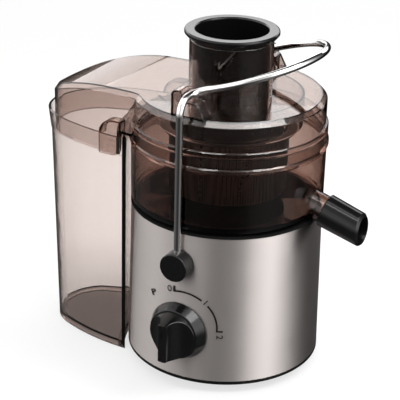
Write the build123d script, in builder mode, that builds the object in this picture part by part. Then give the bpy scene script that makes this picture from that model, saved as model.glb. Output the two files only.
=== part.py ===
from build123d import *
import math
import os

os.makedirs("parts", exist_ok=True)

# Where the spindle stands in the part's frame, in millimetres
AXIS_X = 23.05
AXIS_Y = 8.2

# How far a cut, or a form that joins another, runs past the face it meets
OVERRUN = 1.0

# Base pan, feet and screws
FOOT_H = 8.0
FOOT_R = 11.0
FOOT_RING = 54.0
FOOT_STEM_R = 3.9
FOOT_BEAD_R = 5.0
FOOT_EDGE = 1.5
SUCTION_R = 8.0
SUCTION_DEPTH = 2.0
BASE_R = 84.0
BASE_CHAMFER = 0.8
PAN_TOP = 11.0
TRIM_TOP = 11.5
UPSTAND_R = 82.6
UPSTAND_TOP = 22.0
PAN_WALL = 2.0
VENT_RING = 30.0
VENT_COUNT = 16
VENT_LENGTH = 16.0
VENT_WIDTH = 4.0
PILLAR_RING = 70.0
PILLAR_R = 5.0
SCREW_R = 1.9
SCREW_HOLE_R = 2.1
PILOT_R = 1.95
SCREW_HEAD_R = 3.8
SCREW_HEAD_H = 1.8
SCREW_POCKET_R = 4.1
SCREW_POCKET_TOP = 10.0
SCREW_TOP = 26.0
PILOT_TOP = 28.0

# Steel body
SLEEVE_BOTTOM_R = 83.95
SLEEVE_TOP_R = 81.9
SLEEVE_TOP = 143.4
SLEEVE_WALL = 0.8

# Deck under the bowl
DECK_BOTTOM = 139.0
DECK_TOP = 145.4
DECK_R = 81.0
DECK_LIP_R = 82.2
SHAFT_HOLE_R = 8.0
SEAL_SEAT_R = 12.0
SEAL_SEAT_Z = 141.0
LABYRINTH_R = (15.0, 18.0)
LABYRINTH_TOP = 151.0
SEAL_GAP = 0.4
SEAL_PLAY = 0.1
SEAL_LIP_W = 2.0
SEAL_LIP_H = 0.8

# Motor
SHAFT_R = 4.0
SHAFT_SPAN = (27.4, 157.0)
SHAFT_EDGE = 0.6
STACK_R = 42.0
STACK_DEPTH = 68.0
STACK_SPAN = (62.0, 92.0)
STACK_BORE_R = 19.5
SLOT_R = 32.0
POLE_HALF_ANGLE = 60.0
POLE_PLAY_ANGLE = 1.0
COIL_R = (21.0, 31.0)
COIL_HALF_ANGLE = 85.0
COIL_OVERHANG = 4.5
COIL_GAP = 0.5
BRACKET_SKIRT_R = 38.0
BRACKET_PLATE = 4.0
UPPER_PLATE_Z = 110.0
LOWER_PLATE_Z = 32.0
HUB_R = 14.5
BEARING_R = 11.0
BEARING_H = 7.0
BEARING_BORE_R = 4.05
BEARING_PLAY = 0.02
BEARING_SET = 0.4
BEARING_ROOM = 7.5
BEARING_LIP_R = 7.0
BEARING_LIP_H = 1.5
BEARING_CAP_H = 3.5
SHAFT_ROOM_R = 6.0
SHAFT_ROOM_BOTTOM = 26.8
BOSS_X = 36.0
BOSS_R = 4.0
BOLT_HOLE_R = 2.05
BOLT_TOP = 104.0
BOLT_HEAD_R = 3.5
BOLT_HEAD_H = 3.0
MOTOR_RING = 34.0
MOTOR_POST_BOTTOM = 118.0
MOTOR_SCREW_TOP = 131.0
MOTOR_PILOT_TOP = 132.0
MOTOR_HOLE_R = 2.3
MOTOR_BUSH_R = 6.0
BRACKET_WINDOW_HALF = 18.0
BRACKET_WINDOW_EDGE = 4.0
BRACKET_RIM = 6.0
ARMATURE_R = 19.0
ARMATURE_SLOTS = 12
ARMATURE_SLOT_RING = 13.0
ARMATURE_SLOT = (8.0, 3.0)
SLOT_MOUTH = 1.2
WINDING_R = (6.0, 17.4)
WINDING_OVERHANG = (6.0, 4.5)
WINDING_PLAY = 0.4
WINDING_EDGE = 2.0
COMMUTATOR_R = 11.0
COMMUTATOR_SPAN = (40.0, 53.0)
COMMUTATOR_BARS = 16
BAR_GROOVE = (2.0, 0.6)
BRUSH_Z = 46.5
BRUSH = (6.0, 8.0)
BRUSH_SPAN = (11.3, 27.0)
BRUSH_PLAY = 0.2
HOLDER = (9.0, 11.0)
HOLDER_SPAN = (12.6, 42.3)
HOLDER_FLANGE = (14.0, 16.0, 2.0)
HOLDER_CAP = 2.0
HOLDER_PLAY = 1.0
FAN_R = 29.0
FAN_HUB_R = 8.0
FAN_SPAN = (98.0, 106.0)
FAN_PLATE = 1.2
FAN_BLADES = 9
BLADE_INSET = 0.5

# Basket and its drive
COUPLING_SPAN = (147.0, 158.0)
COUPLING_R = 8.0
COUPLING_ROOT_R = 7.0
COUPLING_RIB_R = 10.4
COUPLING_RIB_W = 2.4
COUPLING_RIBS = 6
SOCKET_R = (10.8, 13.5)
SOCKET_BOTTOM = 149.0
HUB_DISC_R = 48.6
HUB_DISC_SPAN = (158.4, 161.0)
BASKET_R = (49.6, 50.8)
BASKET_WALL = 0.8
BASKET_TOP = 213.0
BASKET_FLANGE_R = 58.0
BASKET_FLANGE_H = 1.2
PERFORATION_R = 1.3
PERFORATION_ROWS = 9
PERFORATION_PITCH = 5.4
PERFORATION_COLUMNS = 18
GRATER_R = 46.0
GRATER_H = 1.2
GRATER_RINGS = ((16.0, 10), (24.0, 16), (32.0, 22), (40.0, 28))
TOOTH_R = 1.3
TOOTH_TIP_R = 0.3
TOOTH_H = 1.4
DOME_R = 8.0
DOME_H = 4.0

# Juice bowl
BOWL_BOTTOM = 145.6
BOWL_R = 82.5
BOWL_DRAFT = 0.3
BOWL_CORNER = 5.0
BOWL_WALL = 2.2
BOWL_FLOOR = 2.6
BOWL_STEP_Z = 200.4
BOWL_RIM_R = 80.3
BOWL_RIM_TOP = 212.0
COLLAR_R = (21.0, 23.4)
COLLAR_TOP = 155.0
PASSAGE_HALF = 42.0
PASSAGE_Z = 206.0

# Spout and nozzle, along the spout's own sloping axis
SPOUT_SLOPE = 17.3
NOZZLE_X = 91.0
NOZZLE_Z = 154.06
NOZZLE_LENGTH = 43.0
NOZZLE_R = (14.3, 13.4)
NOZZLE_MOUTH_X = 125.9
NOZZLE_BEVEL = 2.0
NOZZLE_SOCKET_R = 12.5
NOZZLE_SOCKET_DEPTH = 15.5
NOZZLE_BORE_R = 11.0
NOZZLE_EDGE = 0.8
SPOUT_R = 12.2
SPOUT_BORE_R = 9.6
SPOUT_REACH = 14.0
SPOUT_ROOT = 30.0

# Pulp container
SIDE_X = -69.5
HALF_WIDTH = 57.4
END_X = -126.0
END_R = 46.0
MOUTH_ANGLE = 87.0
CONTAINER_BODY_R = 87.5
CONTAINER_WALL = 2.2
CONTAINER_RIM_Z = 187.0
CONTAINER_TOP = 204.0
CONTAINER_INSETS = (6.5, 2.5, 1.9, 0.0)
CONTAINER_FLOOR = 6.5
CONTAINER_RECESS = 4.0

# Lid and hood
LID_R = 83.0
LID_BOTTOM = 201.0
LID_STEP_Z = 217.6
LID_STEP = 0.8
BEAD_R = 84.0
BEAD_H = 2.6
BEAD_SLOPE = 1.0
LID_UPPER_R = 81.0
LID_TOP = 243.0
LID_WALL = 2.2
LID_SOCKET_R = 80.7
LID_SEAT_GAP = 1.5
LID_BEVEL = 4.0
LID_INNER_BEVEL = 2.7
LEAST_RISE = 0.5
HOOD_INSET = 5.6
HOOD_BOTTOM = 187.0
HOOD_FLOOR_Z = 204.6
HOOD_BODY_R = 91.2
HOOD_CREST_X = -82.0
HOOD_CREST_R = 170.0
HOOD_CREST_ANGLE = 40.0
HOOD_BLEND = 14.0
HOOD_JOIN_X = -62.0
GUIDE_R = (60.0, 62.0)
GUIDE_BOTTOM = 217.0
CHUTE_R = (32.5, 35.0)
CHUTE_BOTTOM = 167.0
CHUTE_TOP = 288.0
CHUTE_EDGE = 1.0
CATCH_SPAN = (64.0, 77.0)
CATCH_X = (-14.2, -3.8, 9.0, 17.0)
CATCH_ROOT_Z = 241.5
CATCH_SEAT_Z = 255.6
CATCH_STOP_Z = 264.0
CATCH_RADII = (4.5, 3.5, 2.0, 4.0)
CATCH_EDGE = 0.8
FITTING_WALL = 2.0
TAB_SPAN = (58.0, 60.2)
TAB_ROOT = 49.8
TAB_X = (-70.8, -91.5)
TAB_BOTTOM = 188.0
TAB_TOP = 219.0
TAB_GAP = 0.8
TAB_RADII = (7.0, 1.5, 13.0)
TAB_CLOSE = 1.0

# Pusher
PUSHER_R = 32.0
PUSHER_WALL = 1.8
PUSHER_BOTTOM = 168.5
PUSHER_RIM_R = 39.35
PUSHER_TOP = 295.6
PUSHER_SEAT = 288.4
PUSHER_LIP_H = 3.0
PUSHER_EDGE = 1.5
PUSHER_SEAT_R = 35.6

# Wire bail and its pivots
WIRE_R = 3.0
BAIL_TURN = 90
PIVOT_Z = 117.4
LEG_Y = 87.8
LEG_BOTTOM = 121.2
RUN_Z = 259.7
LOOP_R = 62.3
LOOP_SLOPE = 18.9
LOOP_STRAIGHT = 21.3
LEG_BEND = 13.0
LOOP_BEND = 10.0
PIVOT_KNOB_R = 12.3
PIVOT_KNOB_SPAN = (82.9, 95.4)
PIVOT_KNOB_EDGE = 1.2
PIN_R = 3.0
PIN_SPAN = (64.5, 93.0)
RUNNING_FIT = 0.05
BUSH_R = 5.05
BUSH_SPAN = (74.0, 82.5)
BUSH_FLANGE_R = 7.5
BUSH_FLANGE_SPAN = (78.4, 80.6)
CLIP_R = 5.5
CLIP_SPAN = (72.2, 73.4)

# Bail interlock
CAM_R = 12.0
CAM_DROP = 2.5
CAM_LEAD = 15
CAM_HEEL_R = 8.0
CAM_SPAN = (66.0, 70.0)
PLUNGER_R = 1.5
PLUNGER_GAP = 0.5
PLUNGER_TIP = 1.2
PLUNGER_BOTTOM = 94.5
INTERLOCK_SIZE = (20.0, 10.0, 18.0)
INTERLOCK_TOP = 98.0
HANGER_SPAN = (60.0, 63.0)
HANGER_WIDTH = 24.0

# Control knob and switch
KNOB_Z = 54.7
KNOB_BACK = 83.8
KNOB_R = (26.0, 22.0)
KNOB_SKIRT_H = 9.0
KNOB_SKIRT_EDGE = 1.2
KNOB_HUB_R = (20.8, 17.0)
KNOB_H = 28.0
SCOOP_R = 18.0
GRIP_WIDTH = 7.8
GRIP_EDGE = 0.9
POINTER_SIZE = (1.6, 9.0)
POINTER_DEPTH = 0.5
POINTER_UP = 8.0
KNOB_RECESS_R = 11.0
KNOB_RECESS_H = 4.6
SPINDLE_R = 3.0
SPINDLE_SPAN = (61.0, 101.0)
SPINDLE_ROOM = 0.5
SWITCH_SIZE = 30.0
SWITCH_SPAN = (57.0, 79.0)
SWITCH_COLLAR_R = 6.0
SWITCH_COLLAR_END = 86.4
SWITCH_COLLAR_PLAY = 0.2
NUT_R = 8.6
NUT_SPAN = (83.4, 85.8)
TERMINAL = (0.8, 4.8, 8.0)
TERMINAL_X = (-9.0, 0.0, 9.0)

# Cord gland
GLAND_Z = 30.0
GLAND_R = 6.0
GLAND_FLANGE_R = 8.5
GLAND_BORE_R = 3.6
GLAND_PLAY = 0.1
GLAND_EDGE = 1.0
GLAND_SPAN = (79.0, 86.0)
GLAND_FLANGE_BACK = 84.0

# Working planes, all measured from the spindle
SPINDLE = Axis((AXIS_X, AXIS_Y, 0), (0, 0, 1))
FRONT = Plane(origin=(AXIS_X, AXIS_Y, 0), x_dir=(1, 0, 0), z_dir=(0, -1, 0))
REAR = Plane(origin=(AXIS_X, AXIS_Y, 0), x_dir=(-1, 0, 0), z_dir=(0, 1, 0))
SLOPE = math.radians(SPOUT_SLOPE)
SPOUT = Plane(
    origin=(AXIS_X + NOZZLE_X, AXIS_Y, NOZZLE_Z),
    x_dir=(0, 1, 0),
    z_dir=(math.cos(SLOPE), 0, -math.sin(SLOPE)),
)
MIDDLE = Plane(origin=(AXIS_X, AXIS_Y, 0), x_dir=(1, 0, 0), z_dir=(0, 1, 0))
STAND = (Align.CENTER, Align.CENTER, Align.MIN)
THROUGH_SLEEVE = (DECK_R / 2, BASE_R + OVERRUN)


def level(height):
    """Horizontal plane at a height, centred on the spindle."""
    return Plane((AXIS_X, AXIS_Y, height))


def turn(points, mode=Mode.ADD):
    """Revolve a closed outline of (radius, height) points round the spindle."""
    with BuildSketch(FRONT) as section:
        with BuildLine():
            Polyline(*points, close=True)
        make_face()
    revolve(section.sketch, axis=SPINDLE, mode=mode)


def ring(radii, span, mode=Mode.ADD):
    """Plain ring round the spindle, from its two radii and two heights."""
    inner, outer = radii
    low, high = span
    turn([(inner, low), (outer, low), (outer, high), (inner, high)], mode)


def rod(plane, radius, span, at=(0, 0), mode=Mode.ADD):
    """Round bar square to a plane, between two distances from it."""
    near, far = span
    with Locations(plane.offset(near)):
        with Locations(at):
            Cylinder(radius, far - near, align=STAND, mode=mode)


def bar(plane, size, span, at=(0, 0), mode=Mode.ADD):
    """Square-edged bar square to a plane, between two distances from it."""
    near, far = span
    with Locations(plane.offset(near)):
        with Locations(at):
            Box(*size, far - near, align=STAND, mode=mode)


def four(ring_radius, radius, span, mode=Mode.ADD):
    """Four upright round bars on a ring, at the corners between front and sides."""
    low, high = span
    with Locations(level(low)):
        with PolarLocations(ring_radius, 4, 45):
            Cylinder(radius, high - low, align=STAND, mode=mode)


def sector(radii, middle, half_angle):
    """Face of a ring's sector, given its middle direction and half angle in degrees."""
    inner, outer = radii
    with BuildSketch(mode=Mode.PRIVATE) as piece:
        with BuildLine():
            far = CenterArc((0, 0), outer, middle - half_angle, 2 * half_angle)
            near = CenterArc((0, 0), inner, middle - half_angle, 2 * half_angle)
            Line(far @ 0, near @ 0)
            Line(far @ 1, near @ 1)
        make_face()
    return piece.sketch


# Base pan with its vents, foot holes and screw pockets
with BuildPart() as base_pan:
    turn([
        (0, FOOT_H),
        (BASE_R - BASE_CHAMFER, FOOT_H),
        (BASE_R, FOOT_H + BASE_CHAMFER),
        (BASE_R, TRIM_TOP),
        (UPSTAND_R, TRIM_TOP),
        (UPSTAND_R, UPSTAND_TOP),
        (UPSTAND_R - PAN_WALL, UPSTAND_TOP),
        (UPSTAND_R - PAN_WALL, PAN_TOP),
        (0, PAN_TOP),
    ])
    with BuildSketch(level(FOOT_H)):
        with PolarLocations(VENT_RING, VENT_COUNT):
            SlotOverall(VENT_LENGTH, VENT_WIDTH)
    extrude(amount=PAN_TOP - FOOT_H, mode=Mode.SUBTRACT)
    four(FOOT_RING, FOOT_STEM_R, (FOOT_H, PAN_TOP), Mode.SUBTRACT)
    four(PILLAR_RING, SCREW_HOLE_R, (FOOT_H, PAN_TOP), Mode.SUBTRACT)
    four(PILLAR_RING, SCREW_POCKET_R, (FOOT_H, SCREW_POCKET_TOP), Mode.SUBTRACT)
base_pan.part.label = "base_pan"
export_step(base_pan.part, "parts/base_pan.step")

# Suction feet pushed through the pan
with BuildPart() as rubber_feet:
    four(FOOT_RING, FOOT_R, (0, FOOT_H))
    chamfer(rubber_feet.edges().group_by(Axis.Z)[-1], FOOT_EDGE)
    four(FOOT_RING, FOOT_STEM_R, (FOOT_H, PAN_TOP))
    four(FOOT_RING, FOOT_BEAD_R, (PAN_TOP, PAN_TOP + SUCTION_DEPTH))
    with Locations(level(0)):
        with PolarLocations(FOOT_RING, 4, 45):
            Cone(SUCTION_R, SUCTION_R / 2, SUCTION_DEPTH, align=STAND, mode=Mode.SUBTRACT)
rubber_feet.part.label = "rubber_feet"
export_step(rubber_feet.part, "parts/rubber_feet.step")

# Screws that hold the pan to the pillars
with BuildPart() as base_screws:
    four(PILLAR_RING, SCREW_HEAD_R, (SCREW_POCKET_TOP - SCREW_HEAD_H, SCREW_POCKET_TOP))
    four(PILLAR_RING, SCREW_R, (SCREW_POCKET_TOP, SCREW_TOP))
base_screws.part.label = "base_screws"
export_step(base_screws.part, "parts/base_screws.step")

# Slightly tapered sheet steel body
with BuildPart() as steel_sleeve:
    turn([
        (SLEEVE_BOTTOM_R - SLEEVE_WALL, TRIM_TOP),
        (SLEEVE_BOTTOM_R, TRIM_TOP),
        (SLEEVE_TOP_R, SLEEVE_TOP),
        (SLEEVE_TOP_R - SLEEVE_WALL, SLEEVE_TOP),
    ])
    rod(FRONT, SWITCH_COLLAR_R + SWITCH_COLLAR_PLAY, THROUGH_SLEEVE, (0, KNOB_Z), Mode.SUBTRACT)
    rod(REAR, GLAND_R + GLAND_PLAY, THROUGH_SLEEVE, (0, GLAND_Z), Mode.SUBTRACT)
    for side in (FRONT, REAR):
        rod(side, BUSH_R + RUNNING_FIT, THROUGH_SLEEVE, (0, PIVOT_Z), Mode.SUBTRACT)
steel_sleeve.part.label = "steel_sleeve"
export_step(steel_sleeve.part, "parts/steel_sleeve.step")

# Deck, pillars, motor posts and the hanger for the interlock switch
with BuildPart() as motor_chassis:
    turn([
        (SHAFT_HOLE_R, DECK_BOTTOM),
        (DECK_R, DECK_BOTTOM),
        (DECK_R, SLEEVE_TOP),
        (DECK_LIP_R, SLEEVE_TOP),
        (DECK_LIP_R, DECK_TOP),
        (LABYRINTH_R[1], DECK_TOP),
        (LABYRINTH_R[1], LABYRINTH_TOP),
        (LABYRINTH_R[0], LABYRINTH_TOP),
        (LABYRINTH_R[0], DECK_TOP),
        (SEAL_SEAT_R, DECK_TOP),
        (SEAL_SEAT_R, SEAL_SEAT_Z),
        (SHAFT_HOLE_R, SEAL_SEAT_Z),
    ])
    four(PILLAR_RING, PILLAR_R, (PAN_TOP, DECK_BOTTOM))
    four(MOTOR_RING, PILLAR_R, (MOTOR_POST_BOTTOM, DECK_BOTTOM))
    bar(FRONT, (HANGER_WIDTH, DECK_BOTTOM - INTERLOCK_TOP + INTERLOCK_SIZE[2]), HANGER_SPAN,
        (0, (DECK_BOTTOM + INTERLOCK_TOP - INTERLOCK_SIZE[2]) / 2))
    four(PILLAR_RING, PILOT_R, (PAN_TOP, PILOT_TOP), Mode.SUBTRACT)
    four(MOTOR_RING, PILOT_R, (MOTOR_POST_BOTTOM, MOTOR_PILOT_TOP), Mode.SUBTRACT)
motor_chassis.part.label = "motor_chassis"
export_step(motor_chassis.part, "parts/motor_chassis.step")

# Lip seal in the deck
with BuildPart() as shaft_seal:
    turn([
        (SHAFT_R + SEAL_GAP, SEAL_SEAT_Z),
        (SEAL_SEAT_R - SEAL_PLAY, SEAL_SEAT_Z),
        (SEAL_SEAT_R - SEAL_PLAY, DECK_TOP - SEAL_GAP),
        (SHAFT_R + SEAL_GAP + SEAL_LIP_W, DECK_TOP - SEAL_GAP),
        (SHAFT_R + SEAL_GAP, DECK_TOP + SEAL_LIP_H),
    ])
shaft_seal.part.label = "shaft_seal"
export_step(shaft_seal.part, "parts/shaft_seal.step")

# Laminated stator with two poles, left and right
with BuildPart() as motor_stator:
    with BuildSketch(level(STACK_SPAN[0])):
        Circle(STACK_R)
        Rectangle(2 * STACK_R, STACK_DEPTH, mode=Mode.INTERSECT)
        Circle(STACK_BORE_R, mode=Mode.SUBTRACT)
        for middle in (90, 270):
            add(sector((STACK_BORE_R - OVERRUN, SLOT_R), middle, 90 - POLE_HALF_ANGLE), mode=Mode.SUBTRACT)
        with Locations((BOSS_X, 0), (-BOSS_X, 0)):
            Circle(BOLT_HOLE_R, mode=Mode.SUBTRACT)
    extrude(amount=STACK_SPAN[1] - STACK_SPAN[0])
motor_stator.part.label = "motor_stator"
export_step(motor_stator.part, "parts/motor_stator.step")

# A saddle coil round each pole
with BuildPart() as field_coils:
    with BuildSketch(level(STACK_SPAN[0] - COIL_OVERHANG)):
        for middle in (0, 180):
            add(sector(COIL_R, middle, COIL_HALF_ANGLE))
    extrude(amount=STACK_SPAN[1] - STACK_SPAN[0] + 2 * COIL_OVERHANG)
    with BuildSketch(level(STACK_SPAN[0] - COIL_GAP)):
        for middle in (0, 180):
            add(sector(
                (COIL_R[0] - OVERRUN, COIL_R[1] + OVERRUN), middle, POLE_HALF_ANGLE + POLE_PLAY_ANGLE))
    extrude(amount=STACK_SPAN[1] - STACK_SPAN[0] + 2 * COIL_GAP, mode=Mode.SUBTRACT)
field_coils.part.label = "field_coils"
export_step(field_coils.part, "parts/field_coils.step")


def bracket_windows(low, high):
    """Cut the four air windows of a bracket's skirt."""
    with BuildSketch(level(low)) as openings:
        for middle in (45, 135, 225, 315):
            add(sector((BRACKET_SKIRT_R - OVERRUN, STACK_R + OVERRUN), middle, BRACKET_WINDOW_HALF))
    extrude(openings.sketch, amount=high - low, mode=Mode.SUBTRACT)


# Upper motor bracket, which carries the motor under the deck
with BuildPart() as upper_bracket:
    ring((BRACKET_SKIRT_R, STACK_R), (STACK_SPAN[1], UPPER_PLATE_Z))
    ring((BEARING_R, STACK_R), (UPPER_PLATE_Z, UPPER_PLATE_Z + BRACKET_PLATE))
    upper_seat = UPPER_PLATE_Z + BEARING_ROOM
    ring((BEARING_R, HUB_R), (UPPER_PLATE_Z, upper_seat))
    ring((BEARING_LIP_R, HUB_R), (upper_seat, upper_seat + BEARING_LIP_H))
    for x in (BOSS_X, -BOSS_X):
        rod(level(0), BOSS_R, (STACK_SPAN[1], UPPER_PLATE_Z), (x, 0))
        rod(level(0), PILOT_R, (STACK_SPAN[1], BOLT_TOP + OVERRUN), (x, 0), Mode.SUBTRACT)
    bracket_windows(STACK_SPAN[1] + BRACKET_WINDOW_EDGE, UPPER_PLATE_Z)
    four(MOTOR_RING, MOTOR_HOLE_R, (UPPER_PLATE_Z, UPPER_PLATE_Z + BRACKET_PLATE), Mode.SUBTRACT)
upper_bracket.part.label = "upper_bracket"
export_step(upper_bracket.part, "parts/upper_bracket.step")

# Lower motor bracket with the windows for the brush holders
with BuildPart() as lower_bracket:
    lower_top = LOWER_PLATE_Z + BRACKET_PLATE
    ring((BRACKET_SKIRT_R, STACK_R), (lower_top, STACK_SPAN[0]))
    lower_seat = lower_top - BEARING_ROOM
    ring((BEARING_R, STACK_R), (LOWER_PLATE_Z, lower_top))
    ring((BEARING_R, HUB_R), (lower_seat, lower_top))
    ring((0, HUB_R), (lower_seat - BEARING_CAP_H, lower_seat))
    rod(level(0), SHAFT_ROOM_R, (SHAFT_ROOM_BOTTOM, lower_top), mode=Mode.SUBTRACT)
    for x in (BOSS_X, -BOSS_X):
        rod(level(0), BOSS_R, (lower_top, STACK_SPAN[0]), (x, 0))
        rod(level(0), BOLT_HOLE_R, (LOWER_PLATE_Z, STACK_SPAN[0]), (x, 0), Mode.SUBTRACT)
    bracket_windows(lower_top + BRACKET_WINDOW_EDGE, STACK_SPAN[0] - BRACKET_RIM)
    for side in (FRONT, REAR):
        bar(side, (HOLDER[0] + HOLDER_PLAY, HOLDER[1] + HOLDER_PLAY),
            (BRACKET_SKIRT_R - 2 * OVERRUN, STACK_R + OVERRUN), (0, BRUSH_Z), Mode.SUBTRACT)
lower_bracket.part.label = "lower_bracket"
export_step(lower_bracket.part, "parts/lower_bracket.step")

# Two bolts that clamp the stator between the brackets
with BuildPart() as stator_bolts:
    for x in (BOSS_X, -BOSS_X):
        rod(level(0), BOLT_HEAD_R, (LOWER_PLATE_Z - BOLT_HEAD_H, LOWER_PLATE_Z), (x, 0))
        rod(level(0), SCREW_R, (LOWER_PLATE_Z, BOLT_TOP), (x, 0))
stator_bolts.part.label = "stator_bolts"
export_step(stator_bolts.part, "parts/stator_bolts.step")

# Shaft bearings
with BuildPart() as upper_bearing:
    upper_bearing_z = UPPER_PLATE_Z + BEARING_SET
    ring((BEARING_BORE_R, BEARING_R - BEARING_PLAY), (upper_bearing_z, upper_bearing_z + BEARING_H))
upper_bearing.part.label = "upper_bearing"
export_step(upper_bearing.part, "parts/upper_bearing.step")

with BuildPart() as lower_bearing:
    lower_bearing_z = lower_top - BEARING_SET
    ring((BEARING_BORE_R, BEARING_R - BEARING_PLAY), (lower_bearing_z - BEARING_H, lower_bearing_z))
lower_bearing.part.label = "lower_bearing"
export_step(lower_bearing.part, "parts/lower_bearing.step")

# Rubber bushes and screws that hang the motor from the deck
with BuildPart() as motor_bushes:
    four(MOTOR_RING, MOTOR_BUSH_R, (UPPER_PLATE_Z + BRACKET_PLATE, MOTOR_POST_BOTTOM))
    four(MOTOR_RING, MOTOR_HOLE_R, (UPPER_PLATE_Z + BRACKET_PLATE, MOTOR_POST_BOTTOM), Mode.SUBTRACT)
motor_bushes.part.label = "motor_bushes"
export_step(motor_bushes.part, "parts/motor_bushes.step")

with BuildPart() as motor_screws:
    four(MOTOR_RING, BOLT_HEAD_R, (UPPER_PLATE_Z - BOLT_HEAD_H, UPPER_PLATE_Z))
    four(MOTOR_RING, SCREW_R, (UPPER_PLATE_Z, MOTOR_SCREW_TOP))
motor_screws.part.label = "motor_screws"
export_step(motor_screws.part, "parts/motor_screws.step")

# Brush holders through the lower bracket, front and rear
with BuildPart() as brush_holders:
    for side in (FRONT, REAR):
        bar(side, HOLDER, HOLDER_SPAN, (0, BRUSH_Z))
        bar(side, HOLDER_FLANGE[:2], (HOLDER_SPAN[1], HOLDER_SPAN[1] + HOLDER_FLANGE[2]), (0, BRUSH_Z))
        bar(side, (BRUSH[0] + BRUSH_PLAY, BRUSH[1] + BRUSH_PLAY),
            (HOLDER_SPAN[0], HOLDER_SPAN[1] - HOLDER_CAP), (0, BRUSH_Z), Mode.SUBTRACT)
brush_holders.part.label = "brush_holders"
export_step(brush_holders.part, "parts/brush_holders.step")

with BuildPart() as carbon_brushes:
    for side in (FRONT, REAR):
        bar(side, BRUSH, BRUSH_SPAN, (0, BRUSH_Z))
carbon_brushes.part.label = "carbon_brushes"
export_step(carbon_brushes.part, "parts/carbon_brushes.step")

# Rotor: shaft, laminated core, windings, commutator and fan
with BuildPart() as motor_shaft:
    rod(level(0), SHAFT_R, SHAFT_SPAN)
    chamfer(motor_shaft.edges().filter_by(GeomType.CIRCLE), SHAFT_EDGE)
motor_shaft.part.label = "motor_shaft"
export_step(motor_shaft.part, "parts/motor_shaft.step")

with BuildPart() as armature_core:
    with BuildSketch(level(STACK_SPAN[0])):
        Circle(ARMATURE_R)
        Circle(SHAFT_R, mode=Mode.SUBTRACT)
        with PolarLocations(ARMATURE_SLOT_RING, ARMATURE_SLOTS):
            Rectangle(*ARMATURE_SLOT, mode=Mode.SUBTRACT)
        with PolarLocations(ARMATURE_R, ARMATURE_SLOTS):
            Rectangle(ARMATURE_SLOT[0], SLOT_MOUTH, mode=Mode.SUBTRACT)
    extrude(amount=STACK_SPAN[1] - STACK_SPAN[0])
armature_core.part.label = "armature_core"
export_step(armature_core.part, "parts/armature_core.step")

with BuildPart() as armature_windings:
    ring(WINDING_R, (STACK_SPAN[0] - WINDING_OVERHANG[0], STACK_SPAN[0]))
    ring(WINDING_R, (STACK_SPAN[1], STACK_SPAN[1] + WINDING_OVERHANG[1]))
    with BuildSketch(level(STACK_SPAN[0])):
        with PolarLocations(ARMATURE_SLOT_RING, ARMATURE_SLOTS):
            Rectangle(ARMATURE_SLOT[0] - WINDING_PLAY, ARMATURE_SLOT[1] - WINDING_PLAY)
    extrude(amount=STACK_SPAN[1] - STACK_SPAN[0])
    fillet(armature_windings.edges().group_by(Axis.Z)[-1].sort_by(SortBy.LENGTH)[-1], WINDING_EDGE)
armature_windings.part.label = "armature_windings"
export_step(armature_windings.part, "parts/armature_windings.step")

with BuildPart() as commutator:
    ring((SHAFT_R, COMMUTATOR_R), COMMUTATOR_SPAN)
    with BuildSketch(level(COMMUTATOR_SPAN[0])):
        with PolarLocations(COMMUTATOR_R, COMMUTATOR_BARS):
            Rectangle(*BAR_GROOVE)
    extrude(amount=COMMUTATOR_SPAN[1] - COMMUTATOR_SPAN[0], mode=Mode.SUBTRACT)
commutator.part.label = "commutator"
export_step(commutator.part, "parts/commutator.step")

with BuildPart() as cooling_fan:
    ring((SHAFT_R, FAN_HUB_R), FAN_SPAN)
    ring((SHAFT_R, FAN_R), (FAN_SPAN[0], FAN_SPAN[0] + FAN_PLATE))
    with BuildSketch(level(FAN_SPAN[0])):
        with PolarLocations((FAN_HUB_R + FAN_R) / 2, FAN_BLADES):
            Rectangle(FAN_R - FAN_HUB_R - 2 * BLADE_INSET, FAN_PLATE)
    extrude(amount=FAN_SPAN[1] - FAN_SPAN[0])
cooling_fan.part.label = "cooling_fan"
export_step(cooling_fan.part, "parts/cooling_fan.step")

# Ribbed coupling on the shaft
with BuildPart() as drive_coupling:
    ring((SHAFT_R, COUPLING_R), COUPLING_SPAN)
    with BuildSketch(level(COUPLING_SPAN[0])):
        with PolarLocations((COUPLING_ROOT_R + COUPLING_RIB_R) / 2, COUPLING_RIBS):
            Rectangle(COUPLING_RIB_R - COUPLING_ROOT_R, COUPLING_RIB_W)
    extrude(amount=COUPLING_SPAN[1] - COUPLING_SPAN[0])
drive_coupling.part.label = "drive_coupling"
export_step(drive_coupling.part, "parts/drive_coupling.step")

# Basket floor with its socket over the coupling
with BuildPart() as basket_hub:
    ring((0, HUB_DISC_R), HUB_DISC_SPAN)
    ring(SOCKET_R, (SOCKET_BOTTOM, HUB_DISC_SPAN[0]))
basket_hub.part.label = "basket_hub"
export_step(basket_hub.part, "parts/basket_hub.step")

# Perforated basket wall with its top flange
with BuildPart() as filter_basket:
    turn([
        (BASKET_R[0] - BASKET_WALL, HUB_DISC_SPAN[0]),
        (BASKET_R[0], HUB_DISC_SPAN[0]),
        (BASKET_R[1], BASKET_TOP),
        (BASKET_FLANGE_R, BASKET_TOP),
        (BASKET_FLANGE_R, BASKET_TOP + BASKET_FLANGE_H),
        (BASKET_R[1] - BASKET_WALL, BASKET_TOP + BASKET_FLANGE_H),
    ])
    middle_z = (HUB_DISC_SPAN[1] + BASKET_TOP) / 2
    for column in range(PERFORATION_COLUMNS):
        column_plane = FRONT.rotated((0, 180 * column / PERFORATION_COLUMNS, 0))
        with BuildSketch(column_plane):
            with Locations((0, middle_z)):
                with GridLocations(PERFORATION_PITCH, PERFORATION_PITCH, 1, PERFORATION_ROWS):
                    Circle(PERFORATION_R)
        extrude(amount=BASKET_FLANGE_R, both=True, mode=Mode.SUBTRACT)
filter_basket.part.label = "filter_basket"
export_step(filter_basket.part, "parts/filter_basket.step")

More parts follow.
